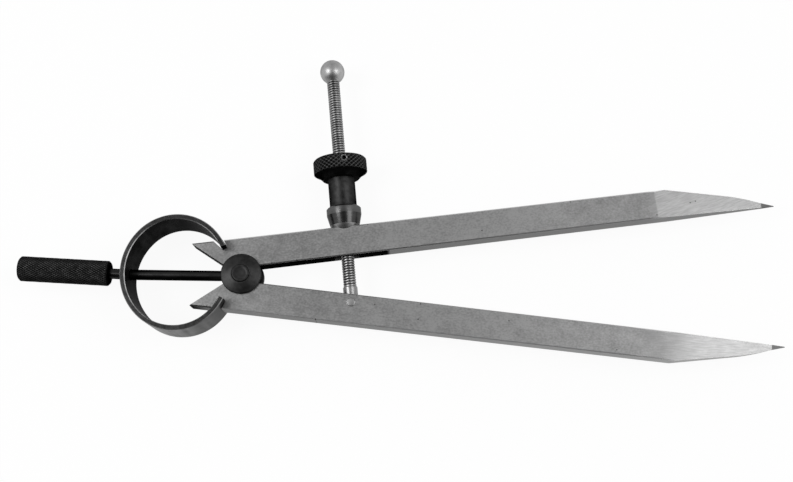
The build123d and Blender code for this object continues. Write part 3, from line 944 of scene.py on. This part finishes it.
pin_low, pin_high = (corner.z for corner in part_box("pivot_pin"))
pin_outline = [
    Vector((0, pin_low)),
    Vector((pin_radius, pin_low)),
    *[Vector((pin_radius * out, pin_high - pin_dome * drop)) for out, drop in pin_dome_form],
    Vector((0, pin_high)),
]
pin_mesh = turned("pivot_pin", eased(pin_outline, pin_dome / 2), 48)
pin_mesh.transform(Matrix.Translation((pin_place.x, pin_place.y, 0)))
peened = steel("peened_end", pin_grey, rough=0.48, grain=(600, 600, 600), shade=0.2, depth=0.01)
finish_off(pin_mesh, "pivot_pin_riveted", "lower_leg", ["pivot_pin"], "bright_steel", peened)

# Seat washer
# A turned steel washer that rocks in the upper leg on its ball-shaped nose. Its cup holds the nut's two jaws
# shut on the thread.
seat_height = 24.3 * mm
nose_radius = 4.6 * mm
nose_depth = 3.6 * mm
nose_shoulder = 2.0 * mm
washer_radius = 4.87 * mm
washer_cone_height = 3.0 * mm
washer_rim_height = 2.2 * mm
washer_edge = 0.4 * mm
washer_bore = 1.95 * mm
cup_radius = 3.88 * mm
cup_depth = 1.5 * mm
cup_slope = math.radians(55)
washer_grey = 0.095
cone_shade_grey = 0.055
nose_grey = 0.3
turning_grain = (60, 900, 60)
turning_slope = screw_turn - math.pi / 2

washer_rim_bottom = seat_height - nose_shoulder + washer_cone_height
washer_top = washer_rim_bottom + washer_rim_height
cup_floor = washer_top - cup_depth
nose_arc = []
for step in range(9):
    depth = nose_depth + (nose_shoulder - nose_depth) * step / 8
    nose_arc.append(Vector((math.sqrt(nose_radius**2 - depth**2), seat_height - depth)))
washer_outline = [
    Vector((washer_bore, seat_height - nose_depth)),
    *nose_arc,
    Vector((washer_radius, washer_rim_bottom)),
    Vector((washer_radius, washer_top - washer_edge)),
    Vector((washer_radius - washer_edge, washer_top)),
    Vector((cup_radius, washer_top)),
    Vector((cup_radius, cup_floor)),
    Vector((washer_bore, cup_floor - (cup_radius - washer_bore) * math.tan(cup_slope))),
]
washer_finishes = [
    steel(
        "washer_turning",
        washer_grey,
        rough=0.28,
        grain=turning_grain,
        turn=turning_slope,
        shade=0.2,
        depth=0.012,
    ),
    # The cone is the same turned steel as the rim, painted darker as shade.
    steel(
        "washer_cone_turning_shaded", cone_shade_grey, rough=0.24, grain=turning_grain, turn=turning_slope, depth=0.012
    ),
    steel("washer_nose_polish", nose_grey, rough=0.4, grain=(900, 900, 900), shade=0.2, depth=0.006),
]
_, cone_face, nose_face = range(3)
washer_mesh = turned("seat_washer", eased(washer_outline, turned_edge / 2))
for face in washer_mesh.polygons:
    if face.center.z < seat_height - nose_shoulder:
        face.material_index = nose_face
    elif face.center.z < washer_rim_bottom:
        face.material_index = cone_face
washer_mesh.transform(screw_place)
finish_off(
    washer_mesh,
    "seat_washer_turned",
    "washer",
    ["seat_washer"],
    "washer_steel",
    *washer_finishes,
    crease=20,
)

# Split nut
# A blackened steel nut with a coarse diamond knurl round its head. Its barrel is slit into two jaws that
# open when they leave the washer's cup, so that the nut can slide along the thread.
nut_bore = 1.84 * mm
barrel_radius = 3.8 * mm
barrel_length = 8.35 * mm
jaw_length = 1.8 * mm
boss_radius = 5.2 * mm
boss_height = 1.0 * mm
boss_shoulder_radius = 6.1 * mm
head_radius = 7.6 * mm
head_flare = 0.85 * mm
head_height = 3.9 * mm
head_edge = 0.45 * mm
head_countersink = 0.7 * mm
slit_width = 0.8 * mm
slit_land = 1.05 * mm
slit_turn = math.radians(74)
dimple_radius = 0.6 * mm
dimple_depth = 1.2 * mm
dimple_drop = 1.5 * mm
dimple_turn = math.radians(12)
dimple_edge = 0.12 * mm
nut_knurl_count = 33
nut_knurl_pitch = 1.1 * mm
nut_knurl_depth = 0.32 * mm
nut_grain = (700, 700, 700)
nut_grey = 0.01
barrel_grey = 0.03
nut_underside_shade_grey = 0.012
dimple_grey = 0.25
nut_ridge_gain = 11
nut_ridge_start = 0.4
knurled_flare = 0.255 * mm
dimple_wall = 0.606 * mm
dimple_wall_level = 0.95

jaw_tip_radius = barrel_radius - jaw_length / math.tan(cup_slope)
barrel_top = washer_top + barrel_length
boss_top = barrel_top + boss_height
head_bottom = boss_top + head_flare
head_top = head_bottom + head_height
rim_rows = round((head_height - head_edge) / nut_knurl_pitch * knurl_fineness)
nut_outline = [
    Vector((nut_bore, cup_floor - jaw_length)),
    Vector((jaw_tip_radius, cup_floor - jaw_length)),
    Vector((barrel_radius, cup_floor)),
    Vector((barrel_radius, barrel_top)),
    Vector((boss_radius, barrel_top)),
    Vector((boss_shoulder_radius, boss_top)),
    *rows(Vector((boss_shoulder_radius, boss_top)), Vector((head_radius, head_bottom)), 12)[1:],
    *rows(Vector((head_radius, head_bottom)), Vector((head_radius, head_top - head_edge)), rim_rows),
    *rows(Vector((head_radius, head_top - head_edge)), Vector((head_radius - head_edge, head_top)), 5),
    Vector((head_radius - head_edge, head_top)),
    Vector((nut_bore + head_countersink, head_top)),
    Vector((nut_bore, head_top - head_countersink)),
]
nut_mesh = turned("split_nut", nut_outline, nut_knurl_count * knurl_fineness)
nut_finish = steel("blackened_nut", nut_grey, rough=0.36, grain=nut_grain, shade=0.35, depth=0.012, edge=0.1)
mark_toned(nut_finish, nut_ridge_gain, nut_ridge_start)
nut_finishes = [
    steel(
        "blackened_barrel", barrel_grey, rough=0.46, grain=(900, 900, 70), shade=0.5, depth=0.012, edge=0.1
    ),
    # The underside is the head's own blackened steel, painted with a dimmer reflection as shade.
    steel(
        "nut_underside_painted_shade", nut_underside_shade_grey, rough=0.4, grain=nut_grain, shade=0.35, depth=0.012, edge=0.03
    ),
    steel("bright_dimple", dimple_grey, rough=0.4, grain=nut_grain, shade=0.35, depth=0.012),
]
nut_sizes = {
    "Radius": head_radius,
    "Count": nut_knurl_count,
    "Pitch": nut_knurl_pitch,
    "Depth": nut_knurl_depth,
    "Flat": knurl_flat,
}
nut_mesh = worked(nut_mesh, knurl, nut_finish, nut_sizes)
for finish in nut_finishes:
    nut_mesh.materials.append(finish)
_, barrel_face, under_face, dimple_face = range(4)
for face in nut_mesh.polygons:
    if face.center.z < barrel_top:
        face.material_index = barrel_face
    # Faces under the head take the underside's painted shade.
    elif face.center.z < head_bottom - knurled_flare:
        face.material_index = under_face
nut_mesh.transform(screw_place)
nut = put_on_show(nut_mesh, "nut")
slit_middle = barrel_top - slit_land - barrel_length
nut_side = screw_up.cross(Vector((0, 0, 1)))
slit_across = Vector((0, 0, 1)) * math.cos(slit_turn) + nut_side * math.sin(slit_turn)
slit_axes = Matrix((slit_across, screw_up.cross(slit_across), screw_up)).transposed().to_4x4()
slit_place = Matrix.Translation(pin_place + screw_up * slit_middle) @ slit_axes
nut = cut_away(nut, box_cutter((4 * barrel_radius, slit_width, 2 * barrel_length), slit_place))
dimple_out = Vector((0, 0, 1)) * math.cos(dimple_turn) + nut_side * math.sin(dimple_turn)
dimple_place = pin_place + screw_up * (head_top - dimple_drop) + dimple_out * head_radius
dimple_outline = [
    Vector((0, -dimple_depth)),
    Vector((dimple_radius, -dimple_depth)),
    Vector((dimple_radius, -2 * dimple_edge)),
    Vector((dimple_radius + 4 * dimple_edge, 2 * dimple_edge)),
    Vector((0, 2 * dimple_edge)),
]
dimple_mesh = turned("dimple", dimple_outline, 32)
dimple_mesh.transform(set_along(dimple_place, dimple_out))
nut = cut_away(nut, put_on_show(dimple_mesh, "dimple"))
for face in nut.data.polygons:
    off_centre = (face.center - dimple_place).cross(dimple_out).length
    on_bevel = dimple_wall < off_centre < dimple_radius + 3 * dimple_edge
    if on_bevel and face.normal.dot(dimple_out) < dimple_wall_level:
        face.material_index = dimple_face
nut_mesh = nut.data
bpy.data.objects.remove(nut)
finish_off(nut_mesh, "split_nut_knurled", "nut", ["split_nut"], "knurled_steel")
